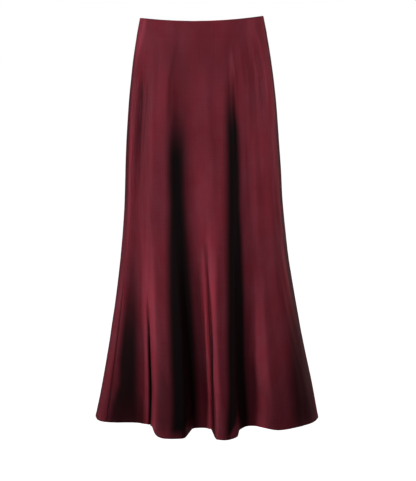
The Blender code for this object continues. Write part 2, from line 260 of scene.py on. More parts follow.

# Painted shade in the folds, and painted highlights on the ridges. Each band has its left and right edge, as
# threads, at a few drops, how softly the two edges fade in degrees, the drops where it begins and is full,
# its strength, and the drops where it wanes and ends, given where that is above the hem
Band = namedtuple(
    "Band", "name edges left_soft right_soft begins full strength wanes ends", defaults=(1.0, 1.1)
)
# Painted shade: bands where the cloth's colour is darkened towards near black in its folds
PAINTED_SHADE_BANDS = (
    Band("left_flute", ((0.22, 257.8, 266.2), (0.40, 256.9, 265.4), (0.50, 254.8, 265.8),
         (0.62, 253.2, 266.3), (0.72, 252.6, 266.1), (0.85, 252.7, 265.0)), 5.5, 6.0, 0.13, 0.31, 1.0),
    Band("left_flute_head", ((0.19, 260.0, 268.0), (0.25, 260.0, 266.5)),
         4.0, 5.0, 0.14, 0.20, 0.30, 0.24, 0.32),
    Band("left_flute_shadow", ((0.60, 264.0, 270.2), (0.80, 264.0, 270.0)),
         3.0, 1.6, 0.50, 0.62, 0.42, 0.76, 0.86),
    Band("left_flute_line", ((0.05, 259.0, 262.0), (0.13, 256.4, 258.8), (0.20, 256.6, 260.0)),
         2.5, 2.5, -0.02, 0.13, 0.38, 0.20, 0.30),
    Band("waist_shade", ((0.05, 258.0, 267.0), (0.20, 258.0, 268.0)),
         5.0, 5.0, -0.05, 0.10, 0.20, 0.25, 0.35),
    Band("middle_flute", ((0.18, 282.0, 287.4), (0.24, 281.9, 290.0), (0.40, 282.0, 290.2),
         (0.50, 281.6, 292.2), (0.62, 281.3, 294.2), (0.80, 280.5, 295.0), (0.88, 279.0, 296.0)),
         3.5, 5.5, 0.08, 0.25, 1.0),
    Band("middle_flute_shadow", ((0.55, 288.0, 296.5), (0.88, 288.0, 298.0)), 4.0, 5.0, 0.50, 0.72, 0.50),
    Band("left_trough", ((0.55, 208.5, 217.5), (0.65, 206.6, 221.5), (0.76, 205.8, 222.5),
         (0.82, 207.0, 223.0), (0.86, 204.6, 224.5), (0.90, 203.4, 226.0)),
         6.0, 11.0, 0.43, 0.74, 0.95, 0.81, 1.16),
    Band("left_trough_foot", ((0.82, 204.0, 226.0), (0.89, 202.6, 229.5)), 4.0, 6.0, 0.79, 0.88, 0.60),
    Band("plain_seam_line", ((0.60, 200.6, 202.2), (0.90, 201.4, 202.8)), 1.0, 1.0, 0.52, 0.72, 0.50),
    Band("left_hip_tuck", ((0.15, 211.8, 217.0), (0.20, 211.0, 215.0), (0.32, 211.0, 215.5)),
         2.0, 4.0, 0.11, 0.17, 0.52, 0.24, 0.36),
    Band("left_hip_shade", ((0.15, 210.0, 243.0), (0.36, 210.0, 243.0)),
         6.0, 6.0, 0.09, 0.16, 0.17, 0.30, 0.42),
    Band("left_limb", ((0.20, 182.0, 193.0), (0.40, 182.0, 193.0)),
         6.0, 5.0, 0.04, 0.20, 0.58, 0.36, 0.50),
    Band("left_flute_slit", ((0.66, 233.2, 234.6), (0.75, 232.8, 235.8), (0.90, 232.9, 235.8)),
         0.9, 0.9, 0.63, 0.72, 1.0),
    Band("left_flute_shade", ((0.70, 246.5, 252.5), (0.85, 245.8, 253.0)),
         3.0, 3.0, 0.66, 0.84, 0.48, 0.87, 0.93),
    Band("middle_flute_slit", ((0.60, 274.0, 274.4), (0.72, 273.8, 274.3), (0.84, 273.1, 273.8),
         (0.90, 273.1, 273.8)), 0.7, 0.7, 0.59, 0.72, 0.95),
    Band("right_panel_foot", ((0.58, 347.0, 368.0), (0.64, 339.0, 366.0), (0.70, 330.0, 363.0),
         (0.76, 326.5, 360.0), (0.82, 322.5, 356.0), (0.88, 320.0, 352.0)),
         13.0, 9.0, 0.50, 0.80, 0.78, 0.87, 1.0),
    Band("waist_middle", ((0.00, 250.0, 282.0), (0.12, 252.0, 280.0)),
         22.0, 22.0, -0.12, 0.0, 0.11, 0.05, 0.15),
    Band("right_back_flute", ((0.45, 42.5, 47.0), (0.65, 42.0, 48.5), (0.88, 41.5, 49.5)),
         4.0, 6.0, 0.36, 0.62, 0.85),
    Band("back_right_flute", ((0.20, 72.8, 78.0), (0.40, 71.8, 79.0), (0.60, 70.4, 80.0),
         (0.85, 69.8, 80.0)), 4.0, 5.5, 0.11, 0.29, 0.97),
    Band("back_middle_flute", ((0.40, 99.4, 103.0), (0.62, 98.4, 104.6), (0.85, 97.4, 105.2)),
         4.0, 5.0, 0.31, 0.56, 0.88),
    Band("back_left_flute", ((0.18, 128.4, 133.0), (0.30, 127.2, 134.6), (0.50, 126.0, 135.4),
         (0.70, 124.6, 136.8), (0.88, 123.6, 137.6)), 4.5, 6.0, 0.09, 0.25, 1.0),
    Band("left_back_flute", ((0.45, 151.4, 156.0), (0.65, 151.0, 158.0), (0.88, 150.4, 159.5)),
         4.0, 7.0, 0.38, 0.64, 0.82),
    Band("back_right_slit", ((0.62, 57.2, 57.8), (0.90, 56.9, 57.6)), 0.7, 0.7, 0.60, 0.72, 0.95),
    Band("back_middle_slit", ((0.68, 79.4, 80.6), (0.90, 79.0, 80.8)), 0.9, 0.9, 0.66, 0.74, 0.95),
    Band("back_left_slit", ((0.56, 112.6, 113.2), (0.90, 112.1, 112.8)), 0.7, 0.7, 0.53, 0.66, 0.95),
    Band("right_limb", ((0.10, 359.0, 366.0), (0.40, 357.0, 365.0), (0.55, 352.0, 363.0),
         (0.64, 349.0, 361.0), (0.72, 345.5, 359.0), (0.80, 343.0, 358.0)),
         2.0, 7.0, -0.05, 0.08, 0.80, 0.74, 0.88),
    Band("right_panel_dip", ((0.50, 326.0, 332.0), (0.62, 327.0, 335.0), (0.72, 327.0, 333.0)),
         5.0, 5.0, 0.42, 0.60, 0.20, 0.64, 0.76),
)
# Painted highlights: bands where the cloth's colour is made lighter, as if these ridges caught the light
PAINTED_HIGHLIGHT_BANDS = (
    Band("left_of_middle_slit", ((0.60, 271.0, 273.4), (0.72, 271.2, 273.2), (0.90, 270.6, 272.8)),
         1.2, 0.6, 0.40, 0.74, 2.6),
    Band("left_of_middle_slit_foot", ((0.80, 271.0, 272.9), (0.90, 270.6, 272.7)),
         1.2, 0.6, 0.78, 0.88, 3.7),
    Band("right_of_middle_slit", ((0.40, 271.0, 279.0), (0.60, 274.6, 276.8), (0.80, 273.9, 276.0),
         (0.90, 273.4, 275.0)), 1.2, 2.0, 0.30, 0.68, 1.7),
    Band("left_of_left_slit", ((0.50, 228.0, 240.0), (0.64, 227.4, 232.2), (0.76, 228.8, 232.4),
         (0.90, 229.4, 232.6)), 2.0, 1.0, 0.42, 0.66, 1.3),
    Band("right_of_left_slit", ((0.50, 232.0, 244.0), (0.70, 237.0, 243.6), (0.90, 236.0, 243.6)),
         2.0, 4.0, 0.42, 0.76, 1.9),
    Band("right_panel_ridge", ((0.50, 303.0, 318.0), (0.62, 303.0, 309.0), (0.74, 301.8, 308.0),
         (0.90, 300.2, 305.8)), 2.5, 4.0, 0.46, 0.74, 1.6),
    Band("right_panel_ridge_foot", ((0.80, 301.6, 306.0), (0.90, 300.2, 304.8)),
         2.0, 3.0, 0.77, 0.86, 2.4),
    Band("right_panel", ((0.25, 303.0, 345.0), (0.50, 304.0, 330.0), (0.70, 306.0, 326.0),
         (0.80, 306.0, 322.0)), 10.0, 16.0, 0.16, 0.30, 0.45, 0.66, 0.90),
    Band("left_seam_light", ((0.20, 198.0, 205.0), (0.45, 200.0, 205.0)),
         4.0, 4.0, 0.12, 0.30, 0.50, 0.42, 0.54),
    Band("middle", ((0.30, 270.0, 280.5), (0.50, 270.0, 279.0)), 4.0, 2.0, 0.24, 0.40, 0.45, 0.46, 0.58),
    Band("right_hip", ((0.06, 335.0, 355.0), (0.30, 335.0, 353.0)),
         4.0, 4.0, 0.02, 0.08, 0.30, 0.30, 0.46),
    Band("back_right_crest", ((0.45, 60.0, 68.0), (0.62, 59.0, 64.0), (0.90, 58.6, 62.6)),
         1.6, 4.0, 0.34, 0.68, 1.2),
    Band("back_middle_crest", ((0.50, 84.0, 95.0), (0.90, 83.0, 92.0)), 3.0, 4.0, 0.42, 0.72, 0.9),
    Band("back_left_crest", ((0.40, 115.0, 124.0), (0.60, 114.4, 119.6), (0.90, 113.6, 117.8)),
         1.6, 4.0, 0.28, 0.66, 1.3),
    Band("left_back_crest", ((0.55, 139.0, 148.0), (0.90, 138.0, 147.0)), 4.0, 4.0, 0.46, 0.74, 0.7),
    Band("back_right_roll", ((0.60, 54.6, 56.6), (0.90, 54.2, 56.2)), 1.2, 0.6, 0.50, 0.76, 1.6),
    Band("back_left_roll", ((0.55, 109.8, 112.0), (0.90, 109.2, 111.6)), 1.2, 0.6, 0.42, 0.72, 1.9),
    Band("back_hip", ((0.15, 88.0, 122.0), (0.45, 84.0, 120.0)), 10.0, 8.0, 0.06, 0.18, 0.35, 0.40, 0.60),
    Band("left_waist", ((0.00, 180.0, 215.0), (0.10, 186.0, 206.0)),
         8.0, 14.0, -0.10, 0.0, 0.85, 0.04, 0.12),
    Band("waist_edge", ((0.00, 60.0, 460.0), (0.10, 60.0, 460.0)), 8.0, 8.0, -0.10, 0.0, 0.25, 0.0, 0.10),
)

# Painted light at the hem: where it turns out of a fold at its foot, these bands take the painted shade off
# again, as if it caught the light
PAINTED_SHADE_LIFTS = (
    Band("left_flute_hem", ((0.88, 250.0, 257.0), (0.90, 249.0, 258.5)), 3.0, 3.0, 0.886, 0.906, 0.60),
    Band("left_flute_foot", ((0.87, 260.0, 261.4), (0.90, 259.6, 262.4)), 1.6, 1.6, 0.872, 0.893, 0.50),
    Band("middle_flute_foot", ((0.86, 285.0, 286.6), (0.88, 283.8, 287.6), (0.90, 280.5, 288.6)),
         2.0, 2.0, 0.850, 0.890, 0.85),
    Band("back_right_foot", ((0.87, 70.6, 73.0), (0.90, 67.0, 74.6)), 2.0, 2.0, 0.858, 0.900, 0.75),
    Band("back_left_foot", ((0.86, 126.6, 128.6), (0.90, 121.5, 130.5)), 2.0, 2.0, 0.852, 0.896, 0.80),
)

# Slow unevenness of the hanging cloth: waves round the skirt, how many degrees they sway and over what
# length, and their height
Ripple = namedtuple("Ripple", "waves sway sway_length phase height")
RIPPLES = (
    Ripple(13, 9.0, 0.61, 0.4, 0.00045),
    Ripple(23, 5.0, 0.47, 2.1, 0.00032),
    Ripple(37, 3.0, 0.39, 4.4, 0.00022),
    Ripple(58, 2.0, 0.31, 1.3, 0.00012),
)
RIPPLES_BEGIN = 0.01
RIPPLES_GROW = 0.12

# Rows of cloth that lie close together: over a rolled edge, as shares of the roll, beside the facing's lower
# edge, up from the hem, over the turning, and down from the top of a facing
ROLL_ROWS = (0.0, 0.04, 0.15, 0.34, 0.6, 1.0)
PRINT_ROWS = (-0.0010, 0.0, 0.0010, 0.0022)
HEM_ROWS = (0.0095, 0.0087, 0.0080, 0.0073, 0.0068, 0.0060, 0.0045, 0.0030, 0.0018)
TURNING_ROWS = (HEM_DEPTH, 0.0083, 0.0078, 0.0070, 0.0062, 0.0045, 0.0028, 0.0014, 0.0006)
FACING_ROWS = (0.0002, 0.0006, 0.0012, 0.0020, 0.0030)

# Even rows: the first and last drop, and how many. An allowance starts under the tape or the facing
WAIST_SPAN = (0.0035, FACING_DEPTH - 0.002, 8)
BODY_SPAN = (FACING_DEPTH + 0.007, LENGTH - HEM_DEPTH - 0.005, 128)
FACING_SPAN = (0.0045, FACING_DEPTH, 12)
TAPE_SPAN = (ZIP_TAPE_TOP, ZIP_TAPE_END, 120)
ALLOWANCE_SPANS = {
    ZIP_SEAM: (ZIP_TAPE_END - 0.006, LENGTH - HEM_DEPTH - 0.0005, 120),
    PLAIN_SEAM: (FACING_DEPTH - 0.004, LENGTH - HEM_DEPTH - 0.0005, 150),
}

# Columns, and how much closer they lie at the seams and at the slits
PANEL_THREADS = 250
FACING_THREADS = 110
TAPE_THREADS = 33
ALLOWANCE_THREADS = 7
PULL_END_STEPS = 25
FINE_STEPS = 4000
LINE_STEPS = 3000
CLOSER = 5.0
CLOSE_TO_SEAM = 0.5
CLOSE_TO_CREASE = 1.6
SLIT_WIDTH = 0.004


# ---------------------------------------------------------------- the cloth's form


def ease(value):
    """A smooth step from 0 to 1."""
    value = np.clip(value, 0.0, 1.0)
    return value * value * (3.0 - 2.0 * value)


def bell(away, width):
    """1 in the middle of a line, and less the further away."""
    return np.exp(-((away / width) ** 2))


def unit(ways):
    return ways / np.linalg.norm(ways, axis=-1, keepdims=True)


def through(places, values, at):
    """A smooth curve through the rows of a table."""
    slopes = np.gradient(values, places)
    i = np.clip(np.searchsorted(places, at) - 1, 0, len(places) - 2)
    span = places[i + 1] - places[i]
    u = (at - places[i]) / span
    hold = values[i] * (1 + 2 * u) * (1 - u) ** 2 + values[i + 1] * u * u * (3 - 2 * u)
    turn = slopes[i] * u * (1 - u) ** 2 - slopes[i + 1] * u * u * (1 - u)
    return hold + span * turn


DROPS = np.array([row.drop for row in SECTIONS])
SHAPE = [np.array([getattr(row, name) for row in SECTIONS]) for name in Section._fields[1:]]


def oval(angle, drop):
    """Points of the plain oval at these angles and drops, and the way straight out from each."""
    half_width, front, back, shift = (through(DROPS, values, drop) for values in SHAPE)
    cos, sin = np.cos(np.radians(angle)), np.sin(np.radians(angle))
    depth = np.where(sin > 0, back, front)
    out = unit(np.stack([depth * cos, half_width * sin, 0 * cos], -1))
    rim = RIM_TILT * cos - RIM_DIP * sin * sin
    height = -drop + rim * (1 - ease(drop / RIM_SETTLES))
    return np.stack([shift + half_width * cos, depth * sin, height], -1), out


def turn_from(angle, to):
    """Degrees from one angle to another, the short way round."""
    return (angle - to + 180.0) % 360.0 - 180.0


def flute_cover(angle, left, right, left_wall, right_wall, left_soft=0.0, right_soft=0.0):
    """1 on a flute's crest, 0 in the troughs beside it. The soft share of each wall is a wide slope."""
    middle = (left + right) / 2
    away = turn_from(angle, middle) + middle

    def wall(inside, width, soft):
        slope = ease(inside / max(width, SOFT_WALL) + 0.5)
        return (1 - soft) * ease(inside / width + 0.5) + soft * slope

    return wall(away - left, left_wall, left_soft) * wall(right - away, right_wall, right_soft)


def hem_reach(angle):
    """How far the hem lies outside the oval at these hem angles."""
    reach = TROUGH_REACH
    for row in FLUTES:
        walls = (row.left_wall, row.right_wall, row.left_soft, row.right_soft)
        cover = flute_cover(angle, row.hem_left, row.hem_right, *walls)
        reach = reach + (row.out - TROUGH_REACH) * cover
    return reach


def hip_reach(angle):
    """How far the soft folds at the hip stand outside the oval at these hip angles."""
    reach = HIP_TROUGH_REACH
    for row in FLUTES:
        cover = flute_cover(angle, row.hip_left, row.hip_right, HIP_LEFT_WALL, HIP_RIGHT_WALL)
        reach = reach + (row.hip_out - HIP_TROUGH_REACH) * cover
    return reach


def carried_round(angles):
    """These angles in order, with two more at each end from the turn before and the turn after."""
    turn = sorted(angles)
    return np.array([a - 360.0 for a in turn[-2:]] + turn + [a + 360.0 for a in turn[:2]])


WALLS_HIP = carried_round([a for row in FLUTES for a in (row.hip_left, row.hip_right)])
WALLS_HEM = carried_round([a for row in FLUTES for a in (row.hem_left, row.hem_right)])
CRESTS = carried_round([(row.hem_left + row.hem_right) / 2 for row in FLUTES])
STARTS = np.array([row.starts for row in FLUTES[-2:] + FLUTES + FLUTES[:2]])


def hip_angle_of(thread):
    """Where a thread passes the hip."""
    turns = np.floor(thread / 360.0) * 360.0
    return through(WALLS_HEM, WALLS_HIP, thread - turns) + turns


def cloth_point(thread, drop, hip_angle=None):
    """Points of the smooth cloth's outer face."""
    if hip_angle is None:
        hip_angle = hip_angle_of(thread)
    drift = ease((drop - DRIFT_STARTS) / (LENGTH - DRIFT_STARTS))
    angle = hip_angle + (thread - hip_angle) * drift
    starts = np.interp(thread % 360.0, CRESTS, STARTS)
    opened = np.clip((drop - starts) / (LENGTH - starts), 0.0, None) ** OPENING_POWER
    folded = ease(drop / HIP_FOLDS_FULL) * (1 - HIP_FOLDS_FADE * drift)
    point, out = oval(angle, drop)
    return point + out * (hem_reach(thread) * opened + hip_reach(hip_angle) * folded)[..., None]


def cloth_ways(thread, drop, hip_angle=None):
    """The way straight out of the smooth cloth, the way round it, and how many metres a degree takes."""
    step_angle, step_drop = 0.05, 0.0005
    hips = (None, None) if hip_angle is None else (hip_angle - step_angle, hip_angle + step_angle)
    above, below = (cloth_point(thread, drop + step, hip_angle) for step in (-step_drop, step_drop))
    behind = cloth_point(thread - step_angle, drop, hips[0])
    round_it = cloth_point(thread + step_angle, drop, hips[1]) - behind
    per_degree = np.linalg.norm(round_it, axis=-1) / (2 * step_angle)
    return unit(np.cross(round_it, above - below)), unit(round_it), per_degree


# ---------------------------------------------------------------- what is pressed and sewn into the cloth


def crease_rise(thread, drop, per_degree):
    """All the creases together, in metres out of the cloth."""
    rise = np.zeros_like(drop)
    for row in CREASES:
        share = (drop - row.high_drop) / (row.low_drop - row.high_drop)
        line = row.high_thread + (row.low_thread - row.high_thread) * share
        away = np.abs(turn_from(thread, line)) * per_degree / row.width
        lip = CREASE_LIP if row.width < NARROW_CREASE else 0.0
        shape = bell(away, 1.0) - lip * bell(away - LIP_AWAY, LIP_WIDTH)
        fade = ease((drop - row.high_drop) / row.fade) * ease((row.low_drop - drop) / row.fade)
        rise -= row.depth * shape * fade
    return rise


def ripple_rise(thread, drop):
    """The slow unevenness, which the waist edge holds flat."""
    rise = np.zeros_like(drop)
    for row in RIPPLES:
        sway = row.sway * np.sin(2 * math.pi * drop / row.sway_length + row.phase)
        rise += row.height * np.sin(np.radians(row.waves * (thread + sway)) + row.phase)
    return rise * ease((drop - RIPPLES_BEGIN) / RIPPLES_GROW)


def seam_rise(thread, drop, per_degree):
    """Both seams: the groove, the print of the pressed-open allowances, and puckers that wander and swell."""
    rise = np.zeros_like(drop)
    for number, seam in enumerate((ZIP_SEAM, PLAIN_SEAM)):
        signed = turn_from(thread, seam) * per_degree
        away = np.abs(signed)
        side = np.sign(signed) * ease(away / PUCKER_REACH)
        rise -= SEAM_GROOVE * bell(away, SEAM_GROOVE_WIDTH)
        rise += ALLOWANCE_PRINT * ease((ALLOWANCE - away) / ALLOWANCE_PRINT_SOFT + 0.5)
        wander = PUCKER_WANDER * np.sin(drop * PUCKER_WANDER_RATE + number) + PUCKER_SIDES_APART * side
        beat = 2 * math.pi * drop / PUCKER_LENGTH + wander
        swell = 1 - PUCKER_SWELL + PUCKER_SWELL * np.sin(drop * PUCKER_SWELL_RATE + 2.0 * number)
        rise += PUCKER * np.exp(-away / PUCKER_REACH) * np.sin(beat) * swell
    return rise


def rolled_in(away, roll):
    """How far the cloth turns in, this far from an edge with this roll."""
    rolled = np.clip(1 - away / roll, 0.0, 1.0)
    return roll * (1 - np.sqrt(1 - rolled * rolled * ROLL_FULLNESS))


def edge_rise(thread, drop):
    """The rolled waist edge with the facing under it, and the narrow stitched hem."""
    up = LENGTH - drop
    quick, slow = (np.radians(thread * waves) for waves in FACING_PRINT_WAVES)
    waves = np.sin(quick) * np.sin(slow + 1.0)
    uneven = 1 - FACING_PRINT_UNEVEN + FACING_PRINT_UNEVEN * waves
    pull = 1 - HEM_STITCH_UNEVEN + HEM_STITCH_UNEVEN * np.sin(np.radians(thread * HEM_STITCH_WAVES))
    rise = FACING_PRINT * uneven * ease((FACING_DEPTH - drop) / FACING_PRINT_SOFT + 0.5)
    rise += HEM_PRINT * ease((HEM_DEPTH - up) / HEM_PRINT_SOFT + 0.5)
    rise -= HEM_STITCH_DEPTH * pull * bell(up - HEM_STITCH_UP, HEM_STITCH_WIDTH)
    return rise - rolled_in(drop, RIM_ROLL) - rolled_in(up, HEM_ROLL)


def zip_parting(thread, drop, per_degree):
    """How far round the skirt each point moves from the zip's seam, which is open above the slider."""
    turn = turn_from(thread, ZIP_SEAM)
    parted = ZIP_PART_HALF * (1 - ease((drop - ZIP_SHUTS_FROM) / ZIP_SHUTS_OVER))
    moved = parted * np.exp(-np.abs(turn) * per_degree / ZIP_PART_GIVES) * np.where(turn < 0, -1.0, 1.0)
    return np.where(np.abs(turn) < ZIP_PART_REACH, moved, 0.0)


def satin_face(thread, drop):
    """Points of the finished cloth's outer face, and the way straight out of the smooth cloth there."""
    thread, drop = np.broadcast_arrays(np.asarray(thread, float), np.asarray(drop, float))
    out, way, per_degree = cloth_ways(thread, drop)
    rise = crease_rise(thread, drop, per_degree) + ripple_rise(thread, drop)
    rise += seam_rise(thread, drop, per_degree) + edge_rise(thread, drop)
    moved = zip_parting(thread, drop, per_degree)
    return cloth_point(thread, drop) + out * rise[..., None] + way * moved[..., None], out


def band_cover(row, thread, drop):
    """How far inside a band each point lies, from 0 to the band's strength."""
    levels, lefts, rights = zip(*row.edges)
    left = np.interp(drop, levels, lefts)
    right = np.interp(drop, levels, rights)
    away = turn_from(thread, (left + right) / 2)
    half = (right - left) / 2
    across = ease((half + away) / row.left_soft + 0.5) * ease((half - away) / row.right_soft + 0.5)
    down = ease((drop - row.begins) / (row.full - row.begins))
    down = down * ease((row.ends - drop) / (row.ends - row.wanes))
    return across * down * row.strength


def painted_shade_and_highlight(thread, drop):
    """1 where a fold is painted dark, 0 on open cloth, and below 0 where a ridge is painted lighter as if
    lit.
    """
    deep, lift, painted_highlight = (
        np.max([band_cover(row, thread, drop) for row in rows], axis=0) for rows in (PAINTED_SHADE_BANDS, PAINTED_SHADE_LIFTS, PAINTED_HIGHLIGHT_BANDS)
    )
    # The painted shade is taken off at the hem's feet, and painted highlights show only where there is no
    # painted shade
    deep = deep * (1 - lift)
    return deep - painted_highlight * (1 - deep)


# ---------------------------------------------------------------- lines, meshes and pieces


def lengths_along(line):
    """How far along a line of points each of them lies."""
    return np.concatenate([[0.0], np.cumsum(np.linalg.norm(np.diff(line, axis=0), axis=1))])


def spaced(places, along, values):
    """Points or ways of a line, taken at these places along it."""
    return np.stack([np.interp(places, along, values[:, k]) for k in range(3)], -1)


def finished_mesh(name, bm):
    mesh = bpy.data.meshes.new(name)
    bm.to_mesh(mesh)
    bm.free()
    return mesh


def new_object(name, data):
    placed = bpy.data.objects.new(name, data)
    bpy.context.scene.collection.objects.link(placed)
    return placed


def new_piece(name, data, body, slot, *finishes):
    for finish in finishes:
        data.materials.append(FINISH[finish])
    piece = new_object(name, data)
    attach(piece, body)
    return piece


def sheet_mesh(name, points, places, painted_shading):
    """A grid of cloth through rows of points, with its places on the cloth and its painted shade and
    highlight as attributes.
    """
    rows, columns = points.shape[:2]
    bm = bmesh.new()
    bmesh.ops.create_grid(bm, x_segments=columns - 1, y_segments=rows - 1, size=1.0)
    mesh = finished_mesh(name, bm)
    flat = np.empty(len(mesh.vertices) * 3, np.float32)
    mesh.vertices.foreach_get("co", flat)
    flat = flat.reshape(-1, 3)
    column = np.rint((flat[:, 0] + 1) / 2 * (columns - 1)).astype(int)
    row = np.rint((1 - flat[:, 1]) / 2 * (rows - 1)).astype(int)

    def laid_out(values):
        return values[row, column].astype(np.float32).ravel()

    mesh.vertices.foreach_set("co", laid_out(points))
    mesh.attributes.new("cloth_place", "FLOAT_VECTOR", "POINT").data.foreach_set("vector", laid_out(places))
    if painted_shading is not None:
        # The painted shade and highlight, kept in the attribute fold
        mesh.attributes.new("fold", "FLOAT", "POINT").data.foreach_set("value", laid_out(painted_shading))
    mesh.update()
    mesh.shade_smooth()
    return mesh


def cloth_places(points, drops):
    """Each point's place on the cloth in metres: across from the middle column, and down."""
    steps = np.linalg.norm(np.diff(points, axis=1), axis=-1)
    across = np.concatenate([np.zeros((len(points), 1)), np.cumsum(steps, axis=1)], axis=1)
    across -= across[:, points.shape[1] // 2][:, None]
    down = np.broadcast_to(np.asarray(drops)[:, None], across.shape)
    return np.stack([across, down, 0 * across], -1)


def sheet_piece(name, points, places, slot, finishes, thickness=SATIN, painted_shading=None):
    """A piece of cloth with its thickness on the inside. A second finish is for its inner face."""
    piece = new_piece(name, sheet_mesh(name, points, places, painted_shading), "skirt", slot, *finishes)
    wall = piece.modifiers.new("thickness", "SOLIDIFY")
    wall.thickness = thickness
    wall.offset = -1.0
    wall.material_offset = len(finishes) - 1
    return piece


def add_line(curve, points):
    line = curve.splines.new("POLY")
    line.points.add(len(points) - 1)
    line.points.foreach_set("co", np.concatenate([points, np.ones((len(points), 1))], axis=1).ravel())
    return line


def thread_curve(name, lines, radius, finish, slot="satin", sides=0):
    """Threads as one curve object with a round section."""
    curve = bpy.data.curves.new(name, "CURVE")
    curve.dimensions = "3D"
    curve.bevel_depth = radius
    curve.bevel_resolution = sides
    curve.use_fill_caps = True
    for line in lines:
        add_line(curve, line)
    return new_piece(name, curve, "skirt", slot, finish)


# ---------------------------------------------------------------- sewing

# The rings of one stitch: how far along it each is, and its girth and lift in radii of the thread
GRAIN_RINGS = ((0.0, 0.0, -0.4), (0.16, 0.85, 0.35), (0.5, 1.0, 0.6), (0.84, 0.85, 0.35), (1.0, 0.0, -0.4))


def stitch_row(name, threads, drop, inset, side):
    """Machine stitches along a level line of the cloth, on its outer (side 1) or inner (side -1) face."""
    fine = np.linspace(threads[0], threads[-1], LINE_STEPS)
    line, out = satin_face(fine, np.full_like(fine, drop))
    line = line - out * inset
    along = lengths_along(line)
    middles = np.arange(STITCH_PITCH, along[-1] - STITCH_PITCH, STITCH_PITCH)
    start, end = (spaced(middles + step, along, line) for step in (-STITCH_LENGTH / 2, STITCH_LENGTH / 2))
    return grain_mesh(name, start, end, unit(spaced(middles, along, out) * side))


def grain_mesh(name, start, end, outs):
    """Small stitches as one mesh: each is a grain of six sides from end to end, bowed up in the middle."""
    aside = np.cross(unit(end - start), outs)
    turn = (np.arange(6) * math.pi / 3)[None, :, None]
    points = []
    for share, girth, lift in GRAIN_RINGS:
        centre = (start + (end - start) * share + outs * STITCH_RADIUS * lift)[:, None, :]
        ring = aside[:, None, :] * np.cos(turn) + outs[:, None, :] * np.sin(turn)
        points.append(centre + ring * STITCH_RADIUS * girth if girth else centre)
    block = np.concatenate(points, axis=1)
    count, size = block.shape[:2]
    # Point 0 is one tip, three rings of six start at 1, 7 and 13, and point 19 is the other tip
    faces = []
    for i in range(6):
        j = (i + 1) % 6
        faces.append((0, 1 + j, 1 + i))
        for a in (1, 7):
            faces.append((a + i, a + j, a + 6 + j, a + 6 + i))
        faces.append((13 + i, 13 + j, 19))
    all_faces = [tuple(v + n * size for v in face) for n in range(count) for face in faces]
    mesh = bpy.data.meshes.new(name)
    mesh.from_pydata(block.reshape(-1, 3).tolist(), [], all_faces)
    mesh.update()
    mesh.shade_smooth()
    return new_piece(name, mesh, "skirt", "satin", "thread")


def overlock(name, edge, inside, out):
    """Overlocking along a raw edge: loops over the edge and back, held by a line of needle thread."""
    along = lengths_along(edge)
    count = 2 * int(along[-1] / OVERLOCK_PITCH)
    at = np.linspace(0.0, along[-1], count + 1)
    edge, out = spaced(at, along, edge), unit(spaced(at, along, out))
    inwards = unit(spaced(at, along, inside) - edge)
    over = edge - inwards * OVERLOCK_PAST_EDGE - out * OVERLOCK_UNDER_EDGE
    held = edge + inwards * OVERLOCK_WIDTH + out * OVERLOCK_LIFT
    bowed = edge + inwards * OVERLOCK_WIDTH * OVERLOCK_BOW_AT + out * (OVERLOCK_LIFT + OVERLOCK_BOW)
    zigzag = []
    for k in range(count):
        zigzag.append(over[k] if k % 2 == 0 else held[k])
        zigzag.append((bowed[k] + bowed[k + 1]) / 2)
    needle = held + out * OVERLOCK_NEEDLE_LIFT
    return thread_curve(name, [np.array(zigzag), needle], OVERLOCK_THREAD, "thread")


# ---------------------------------------------------------------- the cut pieces


def panel_threads(first, last, count):
    """Threads spaced evenly along the hem, but closer at the seams and at the narrow creases."""
    fine = np.linspace(first, last, FINE_STEPS)
    length = lengths_along(cloth_point(fine, np.full_like(fine, LENGTH)))
    density = np.ones_like(fine)
    for row in CREASES:
        if row.width < SLIT_WIDTH:
            middle = (row.high_thread + row.low_thread) / 2
            density += CLOSER * bell(turn_from(fine, middle), CLOSE_TO_CREASE)
    for seam in (first, last):
        density += CLOSER * np.exp(-np.abs(fine - seam) / CLOSE_TO_SEAM)
    weight = np.concatenate([[0.0], np.cumsum(np.diff(length) * (density[1:] + density[:-1]) / 2)])
    return np.interp(np.linspace(0.0, weight[-1], count), weight, fine)


def panel_drops():
    """Rows of a panel, close together at the waist edge, at the facing's lower edge and at the hem."""
    rim = RIM_ROLL * np.array(ROLL_ROWS)
    facing_edge = FACING_DEPTH + np.array(PRINT_ROWS)
    hem = LENGTH - np.array(HEM_ROWS)
    edge = LENGTH - HEM_ROLL * np.array(ROLL_ROWS[::-1])
    waist, body = np.linspace(*WAIST_SPAN), np.linspace(*BODY_SPAN)
    return np.concatenate([rim, waist, facing_edge, body, hem, edge])


def make_panel(side, first, last):
    """Front or back of the skirt, from waist to hem, between its two side seams."""
    threads = panel_threads(first, last, PANEL_THREADS)
    drops = panel_drops()
    thread, drop = np.meshgrid(threads, drops)
    seam_side = np.where(np.arange(len(threads)) < len(threads) / 2, SEAM_SIDE, -SEAM_SIDE)
    points, _ = satin_face(thread + seam_side, drop)
    # Painted shade and highlight for each point of the panel
    places, painted_shading = cloth_places(points, drops), painted_shade_and_highlight(thread, drop)
    panel = sheet_piece(f"{side}_satin", points, places, "satin", ("satin", "satin_reverse"), painted_shading=painted_shading)
    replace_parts(panel, f"{side}_panel")
    return panel


